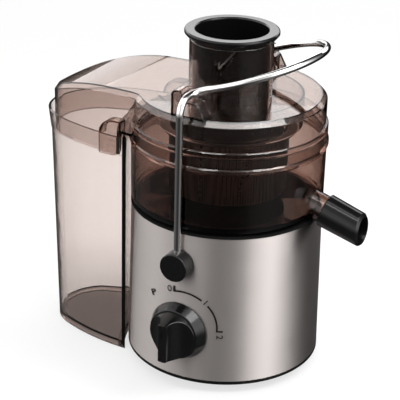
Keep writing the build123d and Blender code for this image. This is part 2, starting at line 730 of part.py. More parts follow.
# Toothed grater disc on the basket floor
with BuildPart() as grater_disc:
    grater_top = HUB_DISC_SPAN[1] + GRATER_H
    ring((0, GRATER_R), (HUB_DISC_SPAN[1], grater_top))
    with Locations(level(grater_top)):
        Cone(DOME_R, DOME_R / 2, DOME_H, align=STAND)
        for tooth_ring, count in GRATER_RINGS:
            with PolarLocations(tooth_ring, count):
                Cone(TOOTH_R, TOOTH_TIP_R, TOOTH_H, align=STAND)
grater_disc.part.label = "grater_disc"
export_step(grater_disc.part, "parts/grater_disc.step")

# Clear smoky bowl that catches the juice
with BuildPart() as juice_bowl:
    turn([
        (0, BOWL_BOTTOM),
        (BOWL_R - BOWL_DRAFT, BOWL_BOTTOM),
        (BOWL_R, BOWL_STEP_Z),
        (BOWL_RIM_R, BOWL_STEP_Z),
        (BOWL_RIM_R, BOWL_RIM_TOP),
        (0, BOWL_RIM_TOP),
    ])
    fillet(juice_bowl.edges().group_by(Axis.Z)[0], BOWL_CORNER)
    bowl_block = juice_bowl.part
    floor_top = BOWL_BOTTOM + BOWL_FLOOR
    inner_r = BOWL_R - BOWL_WALL
    rim_inner_r = BOWL_RIM_R - BOWL_WALL
    turn([
        (COLLAR_R[1], floor_top),
        (inner_r - BOWL_CORNER, floor_top),
        (inner_r - BOWL_CORNER / 4, floor_top + BOWL_CORNER / 2),
        (inner_r, floor_top + BOWL_CORNER),
        (inner_r, BOWL_STEP_Z - BOWL_WALL),
        (rim_inner_r, BOWL_STEP_Z),
        (rim_inner_r, BOWL_RIM_TOP + OVERRUN),
        (0, BOWL_RIM_TOP + OVERRUN),
        (0, COLLAR_TOP),
        (COLLAR_R[1], COLLAR_TOP),
    ], Mode.SUBTRACT)
    rod(level(0), COLLAR_R[0], (BOWL_BOTTOM, COLLAR_TOP), mode=Mode.SUBTRACT)
    rod(SPOUT, SPOUT_BORE_R, (-SPOUT_ROOT, SPOUT_REACH), mode=Mode.SUBTRACT)
    bar(level(0), (BOWL_R, 2 * PASSAGE_HALF), (PASSAGE_Z, BOWL_RIM_TOP), (-BOWL_R, 0), Mode.SUBTRACT)
juice_bowl.part.label = "juice_bowl"
export_step(juice_bowl.part, "parts/juice_bowl.step")

# Sloping spout on the bowl's wall
with BuildPart() as juice_spout:
    rod(SPOUT, SPOUT_R, (-SPOUT_ROOT, SPOUT_REACH))
    rod(level(0), BASE_R, (DECK_BOTTOM, BOWL_BOTTOM), mode=Mode.SUBTRACT)
    add(bowl_block, mode=Mode.SUBTRACT)
    rod(SPOUT, SPOUT_BORE_R, (-SPOUT_ROOT, SPOUT_REACH), mode=Mode.SUBTRACT)
juice_spout.part.label = "juice_spout"
export_step(juice_spout.part, "parts/juice_spout.step")

# Black nozzle pushed on the spout, cut upright and bevelled at its mouth
with BuildPart() as spout_nozzle:
    with Locations(SPOUT):
        Cone(*NOZZLE_R, NOZZLE_LENGTH, align=STAND)
    split(bisect_by=Plane((AXIS_X + NOZZLE_MOUTH_X, AXIS_Y, NOZZLE_Z), z_dir=(1, 0, 0)), keep=Keep.BOTTOM)
    chamfer(spout_nozzle.faces().sort_by(Axis.X)[-1].edges(), NOZZLE_BEVEL)
    fillet(spout_nozzle.edges().filter_by(GeomType.LINE, reverse=True), NOZZLE_EDGE)
    rod(SPOUT, NOZZLE_BORE_R, (0, NOZZLE_LENGTH), mode=Mode.SUBTRACT)
    rod(SPOUT, NOZZLE_SOCKET_R, (0, NOZZLE_SOCKET_DEPTH), mode=Mode.SUBTRACT)
spout_nozzle.part.label = "spout_nozzle"
export_step(spout_nozzle.part, "parts/spout_nozzle.step")

# Plan of the container: a round end with two bowed sides tangent to it
SIDE_R = ((SIDE_X - END_X) ** 2 + HALF_WIDTH ** 2 - END_R ** 2) / (2 * (HALF_WIDTH - END_R))
SIDE_Y = SIDE_R - HALF_WIDTH
TANGENT_ANGLE = 180 - math.degrees(math.atan2(SIDE_Y, SIDE_X - END_X))


def container_outline(inset):
    """Closed plan of the container, drawn in by an inset and left square towards the spindle."""
    with BuildSketch(mode=Mode.PRIVATE) as plan:
        with BuildLine():
            front = CenterArc((SIDE_X, SIDE_Y), SIDE_R - inset, -MOUTH_ANGLE, MOUTH_ANGLE - TANGENT_ANGLE)
            CenterArc((END_X, 0), END_R - inset, -TANGENT_ANGLE, 2 * TANGENT_ANGLE - 360)
            rear = CenterArc((SIDE_X, -SIDE_Y), SIDE_R - inset, MOUTH_ANGLE, TANGENT_ANGLE - MOUTH_ANGLE)
            Line(front @ 0, rear @ 0)
        make_face()
    return plan.sketch


def container_section(height, inset, body_r):
    """Section of the container at a height, hollowed on the side that follows the bowl."""
    with BuildSketch(level(height)) as section:
        add(container_outline(inset))
        Circle(body_r, mode=Mode.SUBTRACT)
    return section.sketch


# Pulp container: a tapered body, a rim band and a recessed foot
with BuildPart() as pulp_container:
    foot, neck, band, lip = CONTAINER_INSETS
    wall_r = CONTAINER_BODY_R + CONTAINER_WALL
    floor_inset = foot + (neck - foot) * CONTAINER_FLOOR / CONTAINER_RIM_Z
    loft([
        container_section(0, foot, CONTAINER_BODY_R),
        container_section(CONTAINER_RIM_Z, neck, CONTAINER_BODY_R),
    ])
    loft([
        container_section(CONTAINER_RIM_Z, band, CONTAINER_BODY_R),
        container_section(CONTAINER_TOP, lip, CONTAINER_BODY_R),
    ])
    loft([
        container_section(CONTAINER_FLOOR, floor_inset + CONTAINER_WALL, wall_r),
        container_section(CONTAINER_RIM_Z, neck + CONTAINER_WALL, wall_r),
    ], mode=Mode.SUBTRACT)
    loft([
        container_section(CONTAINER_RIM_Z, band + CONTAINER_WALL, wall_r),
        container_section(CONTAINER_TOP, lip + CONTAINER_WALL, wall_r),
    ], mode=Mode.SUBTRACT)
    extrude(container_section(0, foot + 2 * CONTAINER_WALL, wall_r + CONTAINER_WALL),
            amount=CONTAINER_RECESS, mode=Mode.SUBTRACT)
pulp_container.part.label = "pulp_container"
export_step(pulp_container.part, "parts/pulp_container.step")


def hood_crest(drop):
    """Space above the hood's falling top, with the crest lowered by a drop."""
    crest_r = HOOD_CREST_R - drop
    clear_z = LID_TOP + END_R
    with BuildSketch(FRONT) as above:
        with BuildLine():
            crest = CenterArc((HOOD_CREST_X, LID_TOP - HOOD_CREST_R), crest_r, 90, HOOD_CREST_ANGLE)
            far = crest @ 1
            Polyline(far, (far.X, clear_z), (HOOD_CREST_X, clear_z), crest @ 0)
        make_face()
    return above.sketch


def lid_plan(height, inset, blend):
    """Plan of the lid above its skirt: the round cover and the hood, blended where they meet."""
    with BuildSketch(level(height)) as plan:
        Circle(LID_UPPER_R - inset)
        add(container_outline(HOOD_INSET + inset))
        inward = plan.vertices().filter_by(lambda v: v.X > SIDE_X)
        fillet(inward, blend)
    return plan.sketch


# Outer form of the lid's upper part
with BuildPart() as lid_form:
    extrude(lid_plan(HOOD_FLOOR_Z, 0, HOOD_BLEND), amount=LID_TOP - HOOD_FLOOR_Z)
    extrude(hood_crest(0), amount=BASE_R, both=True, mode=Mode.SUBTRACT)
    crest_faces = lid_form.faces().filter_by(lambda f: f.normal_at().Z > LEAST_RISE)
    chamfer(crest_faces.edges().filter_by(Axis.Y, reverse=True), LID_BEVEL)
    extrude(container_section(HOOD_BOTTOM, HOOD_INSET, HOOD_BODY_R),
            amount=HOOD_FLOOR_Z - HOOD_BOTTOM + OVERRUN)

# Hollow of the lid's upper part
with BuildPart() as lid_hollow:
    hood_floor = HOOD_FLOOR_Z + LID_WALL
    extrude(lid_plan(hood_floor, LID_WALL, HOOD_BLEND + LID_WALL), amount=LID_TOP - LID_WALL - hood_floor)
    extrude(hood_crest(LID_WALL), amount=BASE_R, both=True, mode=Mode.SUBTRACT)
    hollow_faces = lid_hollow.faces().filter_by(lambda f: f.normal_at().Z > LEAST_RISE)
    chamfer(hollow_faces.edges().filter_by(Axis.Y, reverse=True), LID_INNER_BEVEL)
    extrude(container_section(HOOD_BOTTOM, HOOD_INSET + LID_WALL, HOOD_BODY_R + LID_WALL),
            amount=hood_floor - HOOD_BOTTOM + OVERRUN)

# Ring under the lid that leads the pulp round to the hood
with BuildPart() as guide_ring:
    ring(GUIDE_R, (GUIDE_BOTTOM, LID_TOP - LID_WALL))
    bar(level(0), (LID_R, 2 * PASSAGE_HALF), (GUIDE_BOTTOM, LID_TOP - LID_WALL), (-LID_R / 2, 0),
        Mode.SUBTRACT)
guide_ring.part.label = "guide_ring"
export_step(guide_ring.part, "parts/guide_ring.step")

# Chute that stands in the lid, for the pusher
with BuildPart() as feed_chute:
    ring(CHUTE_R, (CHUTE_BOTTOM, CHUTE_TOP))
    fillet(feed_chute.edges().group_by(Axis.Z)[-1], CHUTE_EDGE)
feed_chute.part.label = "feed_chute"
export_step(feed_chute.part, "parts/feed_chute.step")


def catch_outline():
    """Front outline of a wire catch: an upright stop, a seat for the wire and a hump beside it."""
    stop_x, notch_x, hump_x, toe_x = CATCH_X
    with BuildSketch(mode=Mode.PRIVATE) as outline:
        with BuildLine():
            edge = FilletPolyline(
                (stop_x, CATCH_ROOT_Z),
                (stop_x, CATCH_STOP_Z),
                (notch_x, CATCH_STOP_Z),
                (notch_x, CATCH_SEAT_Z),
                (hump_x, CATCH_SEAT_Z),
                (toe_x, CATCH_ROOT_Z),
                radius=CATCH_RADII,
            )
            Line(edge @ 1, edge @ 0)
        make_face()
    return outline.sketch


def tab_outline():
    """Front outline of a side tab, arched where it leaves the hood."""
    near_x, far_x = TAB_X
    with BuildSketch(mode=Mode.PRIVATE) as outline:
        with BuildLine():
            edge = FilletPolyline(
                (near_x, TAB_TOP),
                (near_x, TAB_BOTTOM),
                (far_x, TAB_BOTTOM),
                (far_x, TAB_TOP),
                (near_x - TAB_CLOSE, TAB_TOP),
                radius=TAB_RADII,
            )
            Line(edge @ 1, edge @ 0)
        make_face()
    return outline.sketch


def thin_fitting(outline, back, front):
    """Thin-walled fitting with a front plate, open towards the spindle."""
    with BuildSketch(FRONT.offset(back)) as block:
        add(outline)
    with BuildSketch(FRONT.offset(back)) as pocket:
        offset(outline, amount=-FITTING_WALL)
    extrude(block.sketch, amount=front - back)
    extrude(pocket.sketch, amount=front - back - FITTING_WALL, mode=Mode.SUBTRACT)


# Front catch for the wire, and the front tab that hangs over the container's rim
with BuildPart() as lid_fittings:
    thin_fitting(catch_outline(), *CATCH_SPAN)
    fillet(lid_fittings.edges().group_by(Axis.Y)[0], CATCH_EDGE)
    thin_fitting(tab_outline(), TAB_ROOT, TAB_SPAN[1])
    bar(FRONT, (2 * (TAB_X[0] - TAB_X[1]), CONTAINER_TOP - TAB_BOTTOM + TAB_GAP), (TAB_ROOT, TAB_SPAN[0]),
        (TAB_X[0], (CONTAINER_TOP + TAB_BOTTOM + TAB_GAP) / 2), Mode.SUBTRACT)

# Shell of the lid and its hood, with the wire catches and the side tabs
with BuildPart() as lid_shell:
    add(lid_form.part)
    turn([
        (0, LID_BOTTOM),
        (BEAD_R, LID_BOTTOM),
        (BEAD_R, LID_BOTTOM + BEAD_H),
        (LID_R, LID_BOTTOM + BEAD_H + BEAD_SLOPE),
        (LID_R, LID_STEP_Z),
        (LID_R - LID_STEP, LID_STEP_Z + LID_STEP),
        (0, LID_STEP_Z + LID_STEP),
    ])
    add(lid_hollow.part, mode=Mode.SUBTRACT)
    ring((0, LID_SOCKET_R), (LID_BOTTOM, BOWL_RIM_TOP + LID_SEAT_GAP), Mode.SUBTRACT)
    lid_inner_r = LID_UPPER_R - LID_WALL
    lid_ceiling = LID_TOP - LID_WALL
    turn([
        (0, LID_BOTTOM),
        (lid_inner_r, LID_BOTTOM),
        (lid_inner_r, lid_ceiling - LID_INNER_BEVEL),
        (lid_inner_r - LID_INNER_BEVEL, lid_ceiling),
        (0, lid_ceiling),
    ], Mode.SUBTRACT)
    add(lid_fittings.part)
    mirror(lid_fittings.part, about=MIDDLE)
    rod(level(0), CHUTE_R[1], (CHUTE_BOTTOM, CHUTE_TOP), mode=Mode.SUBTRACT)

# Round part of the lid, over the bowl
with BuildPart() as lid:
    add(lid_shell.part)
    bar(level(0), (2 * BASE_R, 2 * BASE_R), (HOOD_BOTTOM, LID_TOP), (HOOD_JOIN_X - BASE_R, 0),
        Mode.SUBTRACT)
lid.part.label = "lid"
export_step(lid.part, "parts/lid.step")

# Hood of the lid, over the pulp container
with BuildPart() as pulp_hood:
    add(lid_shell.part)
    bar(level(0), (2 * BASE_R, 2 * BASE_R), (HOOD_BOTTOM, CATCH_STOP_Z), (HOOD_JOIN_X + BASE_R, 0),
        Mode.SUBTRACT)
pulp_hood.part.label = "pulp_hood"
export_step(pulp_hood.part, "parts/pulp_hood.step")

# Hollow pusher that hangs in the chute by its rim
with BuildPart() as pusher:
    turn([
        (0, PUSHER_BOTTOM),
        (PUSHER_R - PUSHER_EDGE, PUSHER_BOTTOM),
        (PUSHER_R, PUSHER_BOTTOM + PUSHER_EDGE),
        (PUSHER_R, PUSHER_SEAT),
        (PUSHER_SEAT_R, PUSHER_SEAT),
        (PUSHER_RIM_R, PUSHER_TOP - PUSHER_LIP_H),
        (PUSHER_RIM_R, PUSHER_TOP),
        (0, PUSHER_TOP),
    ])
    fillet(pusher.edges().group_by(Axis.Z)[-1], PUSHER_LIP_H / 2)
    turn([
        (0, PUSHER_BOTTOM + PUSHER_WALL),
        (PUSHER_R - PUSHER_WALL, PUSHER_BOTTOM + PUSHER_WALL),
        (PUSHER_R - PUSHER_WALL, PUSHER_TOP),
        (0, PUSHER_TOP),
    ], Mode.SUBTRACT)
    fillet(pusher.edges().group_by(Axis.Z)[-1].sort_by(SortBy.LENGTH)[0], PUSHER_LIP_H / 2)
pusher.part.label = "pusher"
export_step(pusher.part, "parts/pusher.step")


def loop_point(along, across):
    """Point of the bail's sloping loop, from its distance along the slope and across it."""
    rise = math.radians(LOOP_SLOPE)
    return (AXIS_X + along * math.cos(rise), AXIS_Y + across, RUN_Z + along * math.sin(rise))


# Bent wire bail: two legs, two short runs over the catches and one sloping loop
with BuildPart() as locking_bail:
    with BuildLine() as bail_path:
        for side_sign in (-1, 1):
            leg_y = AXIS_Y + side_sign * LEG_Y
            FilletPolyline(
                (AXIS_X, leg_y, LEG_BOTTOM),
                (AXIS_X, leg_y, RUN_Z),
                (AXIS_X, AXIS_Y + side_sign * LOOP_R, RUN_Z),
                loop_point(LOOP_STRAIGHT, side_sign * LOOP_R),
                radius=[LEG_BEND, LOOP_BEND],
            )
        ThreePointArc(
            loop_point(LOOP_STRAIGHT, -LOOP_R),
            loop_point(LOOP_STRAIGHT + LOOP_R, 0),
            loop_point(LOOP_STRAIGHT, LOOP_R),
        )
    with BuildSketch(level(LEG_BOTTOM)):
        with Locations((0, -LEG_Y)):
            Circle(WIRE_R)
    sweep(path=bail_path.wire())
locking_bail.part.label = "locking_bail"
export_step(locking_bail.part, "parts/locking_bail.step")


def pivot_knob(side):
    """Round knob on a pivot pin, with the blind hole for the pin."""
    rod(side, PIVOT_KNOB_R, PIVOT_KNOB_SPAN, (0, PIVOT_Z))
    rod(side, PIN_R, (PIVOT_KNOB_SPAN[0], PIN_SPAN[1]), (0, PIVOT_Z), Mode.SUBTRACT)


# Knobs that join the bail's legs to its pivot pins
with BuildPart() as front_pivot_knob:
    pivot_knob(FRONT)
    fillet(front_pivot_knob.edges().group_by(Axis.Y)[0], PIVOT_KNOB_EDGE)
    rod(level(0), WIRE_R, (LEG_BOTTOM, PIVOT_Z + PIVOT_KNOB_R), (0, -LEG_Y), Mode.SUBTRACT)
front_pivot_knob.part.label = "front_pivot_knob"
export_step(front_pivot_knob.part, "parts/front_pivot_knob.step")

with BuildPart() as rear_pivot_knob:
    pivot_knob(REAR)
    fillet(rear_pivot_knob.edges().group_by(Axis.Y)[-1], PIVOT_KNOB_EDGE)
    rod(level(0), WIRE_R, (LEG_BOTTOM, PIVOT_Z + PIVOT_KNOB_R), (0, LEG_Y), Mode.SUBTRACT)
rear_pivot_knob.part.label = "rear_pivot_knob"
export_step(rear_pivot_knob.part, "parts/rear_pivot_knob.step")

# Pins through the body, the bushes they turn in and the clips that hold them
with BuildPart() as pivot_pins:
    for side in (FRONT, REAR):
        rod(side, PIN_R, PIN_SPAN, (0, PIVOT_Z))
pivot_pins.part.label = "pivot_pins"
export_step(pivot_pins.part, "parts/pivot_pins.step")

with BuildPart() as pivot_bushes:
    for side in (FRONT, REAR):
        rod(side, BUSH_R, BUSH_SPAN, (0, PIVOT_Z))
        rod(side, BUSH_FLANGE_R, BUSH_FLANGE_SPAN, (0, PIVOT_Z))
        rod(side, PIN_R + RUNNING_FIT, BUSH_SPAN, (0, PIVOT_Z), Mode.SUBTRACT)
pivot_bushes.part.label = "pivot_bushes"
export_step(pivot_bushes.part, "parts/pivot_bushes.step")

with BuildPart() as pivot_clips:
    for side in (FRONT, REAR):
        rod(side, CLIP_R, CLIP_SPAN, (0, PIVOT_Z))
        rod(side, PIN_R, CLIP_SPAN, (0, PIVOT_Z), Mode.SUBTRACT)
pivot_clips.part.label = "pivot_clips"
export_step(pivot_clips.part, "parts/pivot_clips.step")


def cam_point(angle, radius):
    """Point of the cam, at an angle from straight down towards the right."""
    turned = math.radians(angle)
    return (radius * math.sin(turned), PIVOT_Z - radius * math.cos(turned))


def spiral_radius(angle):
    """Cam radius that falls evenly over the bail's quarter turn."""
    return CAM_R - CAM_DROP * max(angle, 0) / BAIL_TURN


# Spiral cam on the front pin, which lets the interlock plunger rise as the bail opens
with BuildPart() as interlock_cam:
    with BuildSketch(FRONT.offset(CAM_SPAN[0])):
        with BuildLine():
            spiral_angles = range(-CAM_LEAD, BAIL_TURN + CAM_LEAD + 1, CAM_LEAD)
            spiral = Spline([cam_point(angle, spiral_radius(angle)) for angle in spiral_angles])
            heel = CenterArc((0, PIVOT_Z), CAM_HEEL_R, CAM_LEAD, 360 - BAIL_TURN - 2 * CAM_LEAD)
            Line(spiral @ 1, heel @ 0)
            Line(heel @ 1, spiral @ 0)
        make_face()
        with Locations((0, PIVOT_Z)):
            Circle(PIN_R, mode=Mode.SUBTRACT)
    extrude(amount=CAM_SPAN[1] - CAM_SPAN[0])
interlock_cam.part.label = "interlock_cam"
export_step(interlock_cam.part, "parts/interlock_cam.step")

# Interlock switch under the cam, with its plunger
PLUNGER_Y = -(CAM_SPAN[0] + CAM_SPAN[1]) / 2
with BuildPart() as interlock_switch:
    bar(FRONT, (INTERLOCK_SIZE[0], INTERLOCK_SIZE[2]), (HANGER_SPAN[1], HANGER_SPAN[1] + INTERLOCK_SIZE[1]),
        (0, INTERLOCK_TOP - INTERLOCK_SIZE[2] / 2))
    rod(level(0), PLUNGER_R + RUNNING_FIT, (PLUNGER_BOTTOM - OVERRUN, INTERLOCK_TOP), (0, PLUNGER_Y),
        Mode.SUBTRACT)
interlock_switch.part.label = "interlock_switch"
export_step(interlock_switch.part, "parts/interlock_switch.step")

with BuildPart() as interlock_plunger:
    rod(level(0), PLUNGER_R, (PLUNGER_BOTTOM, PIVOT_Z - CAM_R - PLUNGER_GAP), (0, PLUNGER_Y))
    fillet(interlock_plunger.edges().group_by(Axis.Z)[-1], PLUNGER_TIP)
interlock_plunger.part.label = "interlock_plunger"
export_step(interlock_plunger.part, "parts/interlock_plunger.step")

# Speed knob: a tall hub whose two finger scoops leave an upright grip with a pointer groove
with BuildPart() as control_knob:
    with Locations(FRONT.offset(KNOB_BACK)):
        with Locations((0, KNOB_Z)):
            Cone(*KNOB_R, KNOB_SKIRT_H, align=STAND)
    fillet(control_knob.edges().group_by(Axis.Y)[0], KNOB_SKIRT_EDGE)
    with Locations(FRONT.offset(KNOB_BACK + KNOB_SKIRT_H)):
        with Locations((0, KNOB_Z)):
            Cone(*KNOB_HUB_R, KNOB_H - KNOB_SKIRT_H, align=STAND)
    knob_front = KNOB_BACK + KNOB_H
    for side in (-1, 1):
        scoop_x = side * (GRIP_WIDTH / 2 + SCOOP_R)
        rod(level(0), SCOOP_R, (KNOB_Z - KNOB_R[0], KNOB_Z + KNOB_R[0]), (scoop_x, -knob_front), Mode.SUBTRACT)
    scoops = control_knob.faces().filter_by(lambda face: face.geom_type == GeomType.CYLINDER)
    fillet(scoops.edges(), GRIP_EDGE)
    bar(FRONT, POINTER_SIZE, (knob_front - POINTER_DEPTH, knob_front), (0, KNOB_Z + POINTER_UP), Mode.SUBTRACT)
    rod(FRONT, KNOB_RECESS_R, (KNOB_BACK, KNOB_BACK + KNOB_RECESS_H), (0, KNOB_Z), Mode.SUBTRACT)
    rod(FRONT, SPINDLE_R, (KNOB_BACK, SPINDLE_SPAN[1]), (0, KNOB_Z), Mode.SUBTRACT)
control_knob.part.label = "control_knob"
export_step(control_knob.part, "parts/control_knob.step")

# Rotary switch behind the steel, with its spindle and nut
with BuildPart() as rotary_switch:
    bar(FRONT, (SWITCH_SIZE, SWITCH_SIZE), SWITCH_SPAN, (0, KNOB_Z))
    rod(FRONT, SWITCH_COLLAR_R, (SWITCH_SPAN[1], SWITCH_COLLAR_END), (0, KNOB_Z))
    rod(FRONT, SPINDLE_R + RUNNING_FIT, (SPINDLE_SPAN[0] - SPINDLE_ROOM, SWITCH_COLLAR_END), (0, KNOB_Z),
        Mode.SUBTRACT)
    for x in TERMINAL_X:
        bar(FRONT, TERMINAL[:2], (SWITCH_SPAN[0] - TERMINAL[2], SWITCH_SPAN[0]), (x, KNOB_Z))
rotary_switch.part.label = "rotary_switch"
export_step(rotary_switch.part, "parts/rotary_switch.step")

with BuildPart() as switch_spindle:
    rod(FRONT, SPINDLE_R, SPINDLE_SPAN, (0, KNOB_Z))
switch_spindle.part.label = "switch_spindle"
export_step(switch_spindle.part, "parts/switch_spindle.step")

with BuildPart() as switch_nut:
    with BuildSketch(FRONT.offset(NUT_SPAN[0])):
        with Locations((0, KNOB_Z)):
            RegularPolygon(NUT_R, 6)
            Circle(SWITCH_COLLAR_R, mode=Mode.SUBTRACT)
    extrude(amount=NUT_SPAN[1] - NUT_SPAN[0])
switch_nut.part.label = "switch_nut"
export_step(switch_nut.part, "parts/switch_nut.step")

# Gland for the cord at the rear of the body
with BuildPart() as cord_gland:
    rod(REAR, GLAND_R, GLAND_SPAN, (0, GLAND_Z))
    rod(REAR, GLAND_FLANGE_R, (GLAND_FLANGE_BACK, GLAND_SPAN[1]), (0, GLAND_Z))
    fillet(cord_gland.edges().group_by(Axis.Y)[-1], GLAND_EDGE)
    rod(REAR, GLAND_BORE_R, GLAND_SPAN, (0, GLAND_Z), Mode.SUBTRACT)
cord_gland.part.label = "cord_gland"
export_step(cord_gland.part, "parts/cord_gland.step")
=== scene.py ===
"""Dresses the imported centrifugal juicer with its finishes, dial print, stage, light and camera."""
import math

import bmesh
import bpy
from mathutils import Matrix, Vector


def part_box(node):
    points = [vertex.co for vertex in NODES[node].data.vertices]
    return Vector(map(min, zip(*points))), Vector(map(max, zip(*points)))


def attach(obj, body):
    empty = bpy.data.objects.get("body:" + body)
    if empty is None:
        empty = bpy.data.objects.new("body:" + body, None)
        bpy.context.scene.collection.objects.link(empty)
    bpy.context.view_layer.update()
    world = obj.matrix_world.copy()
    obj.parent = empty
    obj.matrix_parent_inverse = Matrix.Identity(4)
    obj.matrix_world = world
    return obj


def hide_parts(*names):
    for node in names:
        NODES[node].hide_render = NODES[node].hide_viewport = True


bl_info = {
    "name": "Centrifugal juicer",
    "version": (1, 0, 0),
    "blender": (4, 5, 0),
    "location": "View3D > Sidebar > Juicer",
    "description": "Finishes, dial print, light and camera for a packed centrifugal juicer",
    "category": "Object",
}

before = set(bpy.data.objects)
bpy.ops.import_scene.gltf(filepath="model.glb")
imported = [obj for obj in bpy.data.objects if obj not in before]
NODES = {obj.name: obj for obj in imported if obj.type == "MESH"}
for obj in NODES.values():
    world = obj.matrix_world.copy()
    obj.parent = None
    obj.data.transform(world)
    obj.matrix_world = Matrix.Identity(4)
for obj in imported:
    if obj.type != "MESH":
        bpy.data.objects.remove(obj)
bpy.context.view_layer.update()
MM = 0.001
# How far a copy is pushed into its neighbour, so that the two join in one moulding
OVERLAP = 0.3 * MM
# Vertices closer than this, in metres, are one
WELD_DISTANCE = 1e-7
# Faces that meet at a larger angle than this keep a sharp edge
EDGE_ANGLE = math.radians(32)

# Sizes of the patterns in the finishes, in millimetres
FLOW_MARKS = 18
BRUSH_LENGTH = 40
HOLE_PITCH = 1.6
INK_MESH = 0.4
# How much longer than wide a brush line is, and where a hole's painted shade ends, as shares of the
# pitch
BRUSH_SHAPE = 90
HOLE_EDGE = (0.28, 0.36)
# A Mix node's two colours and its result by number, since its sockets share their names
MIX_FIRST, MIX_SECOND, MIX_RESULT = 6, 7, 2

# The print's height over the steel, its ticks, a capital's share of the font's size and its
# added weight
PRINT_LIFT = 0.06 * MM
TICK_LENGTH = 5 * MM
GLYPH_CAP = 0.7
GLYPH_BOLD = 0.1 * MM
# Centre of the printed arc, right and up from the knob, where its two lengths run, in degrees from
# its top, and the chords in each
DIAL_CENTRE = (3.6 * MM, 6.5 * MM)
DIAL_ARCS = ((-16.3, 33.2), (46.1, 93.9))
DIAL_STEPS = 18
# Each printed mark, its angle from the arc's top, its radius, its own turn and its share of the
# font's width. A narrow O stands for zero, because the font's own zero has a slash.
MARKS = (
    ("O", -23.5, 32.6 * MM, -3, 0.72),
    ("1", 39.7, 31.0 * MM, 40, 1),
    ("2", 102.8, 33.2 * MM, 88, 1),
    ("P", -56.4, 36.8 * MM, -30, 1.5),
)


def middle(node):
    """Centre of a CAD node's box at rest."""
    low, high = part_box(node)
    return (low + high) / 2


SPINDLE = middle("motor_shaft")
KNOB = middle("control_knob")
STEEL_LOW, STEEL_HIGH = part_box("steel_sleeve")


def linear(code):
    """Linear colour with alpha from an sRGB hex code."""
    values = [int(code[i:i + 2], 16) / 255 for i in (0, 2, 4)]
    return tuple(v / 12.92 if v <= 0.04045 else ((v + 0.055) / 1.055) ** 2.4 for v in values) + (1.0,)


WHITE = linear("FFFFFF")


def add_node(tree, kind, inputs=None, **settings):
    """Add one shader node, with its settings and the values or links of its inputs."""
    node = tree.nodes.new(kind)
    for name, value in settings.items():
        setattr(node, name, value)
    for socket, value in (inputs or {}).items():
        if isinstance(value, bpy.types.NodeSocket):
            tree.links.new(value, node.inputs[socket])
        else:
            node.inputs[socket].default_value = value
    return node


def new_material(name):
    """Empty node material, returned with its tree."""
    material = bpy.data.materials.new(name)
    material.use_nodes = True
    material.node_tree.nodes.clear()
    return material, material.node_tree


def per_mm(size):
    """Texture scale, in cycles per metre, for a pattern of a real size in millimetres."""
    return 1 / (size * MM)


class JuicerColours(bpy.types.PropertyGroup):
    """Colours that a user would change."""

    smoke: bpy.props.FloatVectorProperty(
        name="Smoky plastic", description="Tint of the light that a thick clear wall lets through",
        subtype="COLOR", size=4, min=0, max=1, default=linear("C4A696"))
    steel: bpy.props.FloatVectorProperty(
        name="Steel", description="Brushed steel of the body", subtype="COLOR",
        size=4, min=0, max=1, default=linear("C0B9B6"))
    black: bpy.props.FloatVectorProperty(
        name="Black plastic", description="Pusher, knobs, nozzle and base", subtype="COLOR",
        size=4, min=0, max=1, default=linear("101010"))
    chrome: bpy.props.FloatVectorProperty(
        name="Chrome", description="Plated wire of the bail", subtype="COLOR",
        size=4, min=0, max=1, default=linear("DAD9D8"))
    ink: bpy.props.FloatVectorProperty(
        name="Dial ink", description="Print round the knob", subtype="COLOR",
        size=4, min=0, max=1, default=linear("15110F"))
    floor: bpy.props.FloatVectorProperty(
        name="Floor", description="Plain studio floor", subtype="COLOR",
        size=4, min=0, max=1, default=linear("FAFAFA"))


class JuicerSizes(bpy.types.PropertyGroup):
    """Sizes that a user would change."""

    lid_depth: bpy.props.FloatProperty(
        name="Lid tint per metre", description="Strength of the tint in the lid",
        min=0, default=350)
    # The bowl's tint is much deeper than the lid's and the container's: partly the plastic's own tint,
    # partly painted shade that darkens the inside of the bowl
    bowl_tint_and_shade_depth: bpy.props.FloatProperty(
        name="Bowl tint per metre", description="Strength of the tint in the juice bowl, deepened as painted shade",
        min=0, default=650)
    container_depth: bpy.props.FloatProperty(
        name="Container tint per metre", description="Strength of the tint in the pulp container",
        min=0, default=165)
    dial_radius: bpy.props.FloatProperty(
        name="Dial radius", description="Radius of the printed arc beside the knob", unit="LENGTH",
        default=30.2 * MM)
    dial_line: bpy.props.FloatProperty(
        name="Dial line", description="Width of the printed lines", unit="LENGTH",
        default=1.6 * MM)
    digit_height: bpy.props.FloatProperty(
        name="Digit height", description="Height of the printed digits", unit="LENGTH",
        default=5.4 * MM)


def colours():
    """The scene's colour settings."""
    return bpy.context.scene.juicer_colours


def sizes():
    """The scene's size settings."""
    return bpy.context.scene.juicer_sizes


def unevenness(tree, grain, low, high, detail=2.0):
    """Noise with a grain in millimetres, and the roughness between two values that it gives."""
    place = add_node(tree, "ShaderNodeTexCoord")
    speck = add_node(tree, "ShaderNodeTexNoise", {
        "Vector": place.outputs["Object"], "Scale": per_mm(grain), "Detail": detail})
    rough = add_node(tree, "ShaderNodeMapRange", {
        "Value": speck.outputs["Fac"], "To Min": low, "To Max": high})
    return speck.outputs["Fac"], rough.outputs["Result"]


def smoky_plastic(name, depth):
    """Injection-moulded clear styrene copolymer, tinted brown grey in the melt.

    A polished mould gives sharp reflections. The tint sits in the melt, so an edge seen along its
    length is dark.
    """
    material, tree = new_material(name)
    flow, sheen = unevenness(tree, FLOW_MARKS, low=0.0, high=0.03)
    waves = add_node(tree, "ShaderNodeBump", {
        "Height": flow, "Strength": 0.02, "Distance": 0.4 * MM})
    shader = add_node(tree, "ShaderNodeBsdfPrincipled", {
        "Base Color": WHITE, "Transmission Weight": 1.0, "IOR": 1.5,
        "Roughness": sheen, "Normal": waves.outputs["Normal"]})
    tint = add_node(tree, "ShaderNodeVolumeAbsorption", {
        "Color": colours().smoke, "Density": depth})
    add_node(tree, "ShaderNodeOutputMaterial", {
        "Surface": shader.outputs["BSDF"], "Volume": tint.outputs["Volume"]})
    return material


